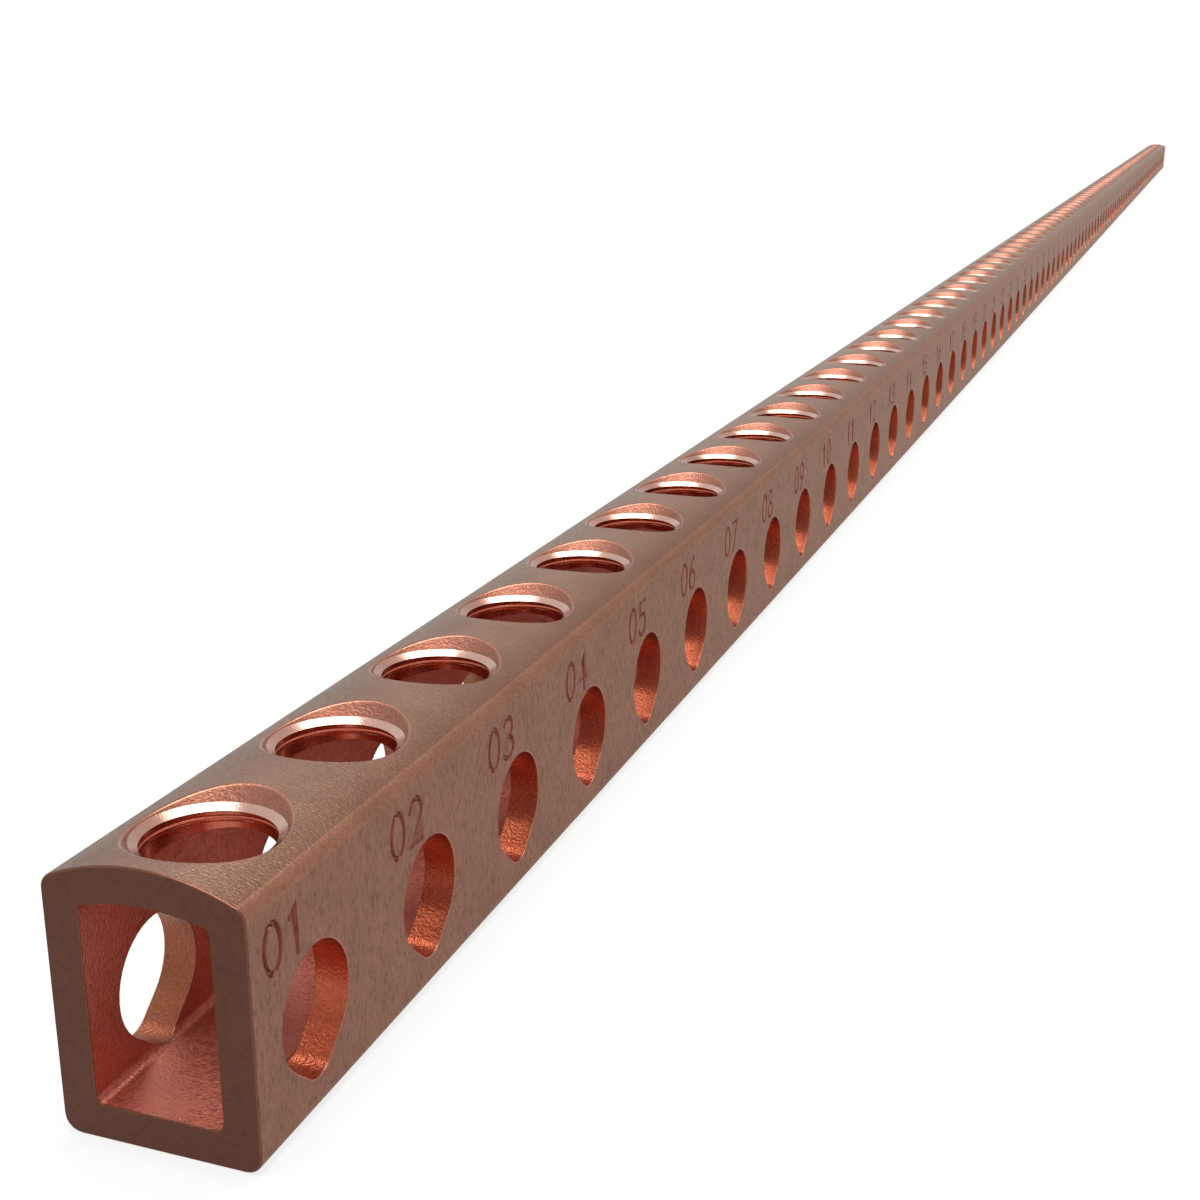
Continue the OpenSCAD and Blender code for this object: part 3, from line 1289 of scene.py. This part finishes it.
@dataclass(frozen=True)
class CopperFinish:
    """Bare copper as one way of working leaves it, with painted light and shade by side where it lists several
    colours.

    Attributes:
        name: What the finish is.
        colours: Main colours from the bar's left side to its right side; where they differ, the change is
            painted light and shade by side.
        stain: Colour of the flecks and streaks of tarnish.
        flecks: Share of the stain where it is strongest.
        fleck: Size of the flecks, in millimetres.
        streak: Stretch of the flecks along each axis.
        clouds: Change of brightness in large soft patches.
        cloud: Size of those patches, in millimetres.
        sand: Change of brightness from grain to grain.
        grit: Size of the grains, in millimetres.
        relief: Height of the grains, in millimetres.
        smooth: Roughness of the smoothest places.
        rough: Roughness of the roughest places.
        rim: Colour of the reflection at a glancing angle.
        metallic: Share of bare metal.
    """

    name: str
    colours: tuple[str, ...]
    stain: str
    flecks: float = 0.0
    fleck: float = 0.35
    streak: tuple[float, float, float] = (1.0, 1.0, 1.0)
    clouds: float = 0.08
    cloud: float = 2.5
    sand: float = 0.1
    grit: float = 0.13
    relief: float = 0.012
    smooth: float = 0.36
    rough: float = 0.5
    rim: str = "ffffff"
    metallic: float = 1.0

    def build(self) -> bpy.types.Material:
        """Writes the material.

        Returns:
            The new material.
        """
        material = bpy.data.materials.new(self.name)
        material.use_nodes = True
        material.node_tree.nodes.clear()
        t = Tree(material.node_tree)
        place = t.add("ShaderNodeTexCoord").outputs["Object"]
        even = t.add("ShaderNodeMapping", {"Vector": place, "Scale": [1 / MM] * 3}).outputs[0]
        stretch = [1 / (MM * s) for s in self.streak]
        drawn = t.add("ShaderNodeMapping", {"Vector": place, "Scale": stretch}).outputs[0]
        cloud, grain, marks = (
            t.add("ShaderNodeTexNoise", {"Vector": at, "Scale": 1 / size, "Detail": detail}).outputs["Fac"]
            for at, size, detail in ((even, self.cloud, 2.0), (even, self.grit, 2.0), (drawn, self.fleck, 4.0))
        )
        across = t.add("ShaderNodeSeparateXYZ", {"Vector": even}).outputs["X"]
        stained, soft, fine, polish, share = (
            t.add(
                "ShaderNodeMapRange",
                {"Value": value, "From Min": low, "From Max": high, "To Min": start, "To Max": end},
            ).outputs[0]
            for value, (low, high), start, end in (
                (marks, STAIN_SPAN, 0.0, self.flecks),
                (cloud, NOISE_SPAN, 1 - self.clouds, 1 + self.clouds),
                (grain, NOISE_SPAN, 1 - self.sand, 1 + self.sand),
                (marks, POLISH_SPAN, self.smooth, self.rough),
                (across, (-OUTER.half, OUTER.half), 0.0, 1.0),
            )
        )
        # Colour across the bar from left to right: where a finish lists several colours, this paints light and
        # shade by side.
        colour_and_side_light_ramp = t.add("ShaderNodeValToRGB", {"Fac": share})
        stops = colour_and_side_light_ramp.color_ramp.elements
        stops[0].color, stops[1].color = linear(self.colours[0]), linear(self.colours[-1])
        for number, code in enumerate(self.colours[1:-1], 1):
            stops.new(number / (len(self.colours) - 1)).color = linear(code)
        blend = {0: stained, 6: colour_and_side_light_ramp.outputs[0], 7: linear(self.stain)}
        mixed = t.add("ShaderNodeMix", blend, data_type="RGBA").outputs[2]
        light = t.add("ShaderNodeMath", {0: soft, 1: fine}, operation="MULTIPLY").outputs[0]
        colour = t.add("ShaderNodeVectorMath", {0: mixed, "Scale": light}, operation="SCALE").outputs[0]
        grains = {"Height": grain, "Strength": 1.0, "Distance": self.relief * MM}
        bump = t.add("ShaderNodeBump", grains).outputs[0]
        shader = t.add(
            "ShaderNodeBsdfPrincipled",
            {
                "Base Color": colour,
                "Metallic": self.metallic,
                "Roughness": polish,
                "Specular Tint": linear(self.rim),
                "Normal": bump,
            },
        )
        t.add("ShaderNodeOutputMaterial", {"Surface": shader.outputs[0]})
        return material


FINISHES = {
    # Extruded copper that has stood in air: a dull mauve brown with fine dark
    # marks that run up and down.
    Zone.SKIN: CopperFinish(
        "extruded_copper_side",
        ("876153",),
        "5a4036",
        flecks=0.55,
        fleck=0.16,
        streak=(1, 1, 2.4),
        sand=0.09,
        relief=0.02,
        rim="e6dcd2",
    ),
    # The same skin on the crown, with the sandy grain of the die. Its colour is a painted
    # reflection: mauve grey on the left, lighter in the middle, bronze brown on the right.
    Zone.CROWN: CopperFinish(
        "extruded_copper_crown",
        ("79635c", "896e64", "927265", "8b6a5b", "755243"),
        "5d463c",
        flecks=0.25,
        fleck=0.2,
        streak=(1, 2, 1),
        sand=0.14,
        relief=0.03,
        smooth=0.3,
        rough=0.42,
        rim="e2dcd4",
    ),
    # Shoulder, painted brighter and oranger on the right: a painted highlight along the shoulder.
    Zone.SHOULDER: CopperFinish(
        "rubbed_copper_shoulder",
        ("7d5f52", "906450"),
        "6b4a3a",
        flecks=0.4,
        fleck=0.2,
        streak=(1, 2, 1),
        sand=0.14,
        relief=0.025,
        rim="e2dcd4",
    ),
    # Saw cut: dull and even, with a fine sandy texture. Its dark colour is painted shade of the end faces.
    Zone.SAWN: CopperFinish(
        "sawn_copper_end",
        ("5d3c31",),
        "52352c",
        flecks=0.25,
        fleck=0.3,
        clouds=0.03,
        sand=0.06,
        relief=0.022,
    ),
    # Inside of the extrusion, closed off from air and redder.
    Zone.CAVITY: CopperFinish(
        "extruded_copper_cavity", ("c27663",), "a05a47", flecks=0.3, fleck=0.3, sand=0.12, relief=0.025
    ),
    # Drilled and milled port wall, fresh, torn a little by the cutter. Painted darker on the bar's left and
    # lighter on its right: painted shade and light by side.
    Zone.PORT: CopperFinish(
        "milled_copper_port",
        ("83503a", "ba6246"),
        "a04a2c",
        flecks=0.3,
        fleck=0.3,
        sand=0.16,
        relief=0.03,
        rough=0.4,
    ),
    # Countersink, turned, with small bright tears. Painted darker on the bar's left and lighter on its right:
    # painted shade and light by side.
    Zone.SINK: CopperFinish(
        "turned_copper_countersink",
        ("82523f", "96675a"),
        "6f4631",
        flecks=0.4,
        fleck=0.2,
        sand=0.16,
        relief=0.03,
    ),
    # Lead-in of the tap, nearly polished. Painted lighter on the bar's right: a painted highlight by side.
    Zone.LEAD: CopperFinish(
        "polished_copper_lead_in",
        ("a5786a", "cfae9f"),
        "9c705e",
        flecks=0.2,
        sand=0.05,
        relief=0.006,
        smooth=0.18,
        rough=0.26,
    ),
    # Thread, cut and bright red.
    Zone.BORE: CopperFinish(
        "tapped_copper_thread",
        ("b4604a",),
        "9a4a36",
        flecks=0.3,
        sand=0.06,
        relief=0.006,
        smooth=0.22,
        rough=0.32,
    ),
    # Bottom of the stamped figures, darker and redder than the side round them.
    Zone.MARK: CopperFinish("stamped_copper_figure", ("7a4232",), "5b2f22", flecks=0.4),
    # Broken edges of the holes, lighter than the skin: partly rubbed metal, partly a painted highlight along
    # the edges.
    Zone.EDGE: CopperFinish(
        "broken_copper_edge", ("9c6a56",), "84553f", flecks=0.4, smooth=0.28, rough=0.4
    ),
    # Broken edges round the sawn ends, darker than those of the holes: painted shade, as on the end faces.
    Zone.BURR: CopperFinish(
        "broken_copper_end_edge", ("70493b",), "5d3c31", flecks=0.4, smooth=0.28, rough=0.4
    ),
}


# Stage, light and camera


@dataclass(frozen=True)
class Studio:
    """Plain white stage with soft light.

    Attributes:
        floor_side: Side of the floor, in metres.
        sky: Strength of the soft light from all round.
        box_power: Power of the soft box overhead, in watts.
        box_height: Height of the soft box, in metres.
        box_side: Side of the soft box, in metres.
        box_shift: Place of the soft box along the bar, in metres.
        glow: Share of plain white in the floor near the bar.
        fade_start: Distance from the bar's middle where that share rises, in metres.
        fade_end: Distance past which the floor is all white to the eye, in metres.
    """

    floor_side: float = 12.0
    sky: float = 0.6
    box_power: float = 30.0
    box_height: float = 1.6
    box_side: float = 1.1
    box_shift: float = -0.2
    glow: float = 0.8
    fade_start: float = 0.5
    fade_end: float = 0.8

    def build(self) -> None:
        """Builds the floor, the world and the lamp."""
        self.floor()
        self.world()
        light = bpy.data.lights.new("overhead_softbox", "AREA")
        light.shape = "SQUARE"
        light.size = self.box_side
        light.energy = self.box_power
        lamp = bpy.data.objects.new("overhead_softbox", light)
        lamp.location = (0.0, self.box_shift, self.box_height)
        bpy.context.scene.collection.objects.link(lamp)

    @staticmethod
    def seen(t: Tree) -> bpy.types.NodeSocket:
        """Adds nodes that are 1 for camera, glossy and transmission rays."""
        path = t.add("ShaderNodeLightPath").outputs
        first = {0: path["Is Camera Ray"], 1: path["Is Glossy Ray"]}
        both = t.add("ShaderNodeMath", first, operation="MAXIMUM").outputs[0]
        last = {0: both, 1: path["Is Transmission Ray"]}
        return t.add("ShaderNodeMath", last, operation="MAXIMUM").outputs[0]

    def floor(self) -> None:
        """Builds the floor, white to the eye and still darker in shadow."""
        half = self.floor_side / 2
        mesh = bpy.data.meshes.new("floor")
        corners = [(-half, -half, 0), (half, -half, 0), (half, half, 0), (-half, half, 0)]
        mesh.from_pydata(corners, [], [(0, 1, 2, 3)])
        floor = bpy.data.objects.new("floor", mesh)
        bpy.context.scene.collection.objects.link(floor)
        material = bpy.data.materials.new("matt_white_floor")
        material.use_nodes = True
        material.node_tree.nodes.clear()
        t = Tree(material.node_tree)
        matt = t.add("ShaderNodeBsdfDiffuse", {"Color": linear("f2f2f2")})
        glow = t.add("ShaderNodeEmission", {"Color": linear("ffffff"), "Strength": 1.0})
        place = t.add("ShaderNodeTexCoord").outputs["Object"]
        away = t.add("ShaderNodeVectorMath", {0: place}, operation="LENGTH").outputs["Value"]
        fade = t.add(
            "ShaderNodeMapRange",
            {
                "Value": away,
                "From Min": self.fade_start,
                "From Max": self.fade_end,
                "To Min": self.glow,
                "To Max": 1.0,
            },
        )
        share = t.add("ShaderNodeMath", {0: self.seen(t), 1: fade.outputs[0]}, operation="MULTIPLY")
        mixed = t.add("ShaderNodeMixShader", {0: share.outputs[0], 1: matt.outputs[0], 2: glow.outputs[0]})
        t.add("ShaderNodeOutputMaterial", {"Surface": mixed.outputs[0]})
        mesh.materials.append(material)

    def world(self) -> None:
        """Builds the world, white to the eye and softer as a light."""
        world = bpy.data.worlds.new("white_room")
        world.use_nodes = True
        world.node_tree.nodes.clear()
        t = Tree(world.node_tree)
        strength = t.add("ShaderNodeMapRange", {"Value": self.seen(t), "To Min": self.sky, "To Max": 1.0})
        back = t.add("ShaderNodeBackground", {"Color": linear("ffffff"), "Strength": strength.outputs[0]})
        t.add("ShaderNodeOutputWorld", {"Surface": back.outputs[0]})
        bpy.context.scene.world = world


@dataclass(frozen=True)
class Eye:
    """Camera in front of the near end, to the right of it and above.

    Attributes:
        place: Place from the middle of the near end's base, in bar widths.
        azimuth: Turn of the view to the left of the bar's line, in degrees.
        elevation: Height of the eye over the view's horizon, in degrees.
        lens: Focal length, in millimetres.
        sensor: Width of the sensor, in millimetres.
        nearest: Distance at which the view starts, in metres.
    """

    place: tuple[float, float, float] = (3.9003, -5.1853, 4.4036)
    azimuth: float = 19.95
    elevation: float = 17.005
    lens: float = 50.0
    sensor: float = 36.0
    nearest: float = 0.001

    def build(self, bar: Bar) -> None:
        """Sets the camera up for a bar.

        Args:
            bar: The bar that is looked at.
        """
        data = bpy.data.cameras.new("eye")
        data.lens = self.lens
        data.sensor_width = self.sensor
        data.clip_start = self.nearest
        camera = bpy.data.objects.new("eye", data)
        width = 2 * bar.outer.half
        x, y, z = (width * v * MM for v in self.place)
        camera.location = (x, bar.low * MM + y, z)
        camera.rotation_euler = (math.radians(90 - self.elevation), 0.0, math.radians(self.azimuth))
        bpy.context.scene.collection.objects.link(camera)
        bpy.context.scene.camera = camera


def main() -> None:
    """Builds the stage and every piece."""
    logging.basicConfig(level=logging.INFO, format="%(message)s")
    bpy.context.scene.view_settings.view_transform = "Standard"
    finishes = {zone: finish.build() for zone, finish in FINISHES.items()}
    maker = Bar()
    Eye().build(maker)
    Studio().build()
    bar = maker.build(finishes)
    threads = Threads().build(maker, finishes[Zone.BORE])
    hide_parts(NODE)
    for piece in (bar, threads):
        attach(piece, BODY)
        piece.data.calc_loop_triangles()
        log.info("%s: %d triangles", piece.name, len(piece.data.loop_triangles))


if __name__ == "__main__":
    main()
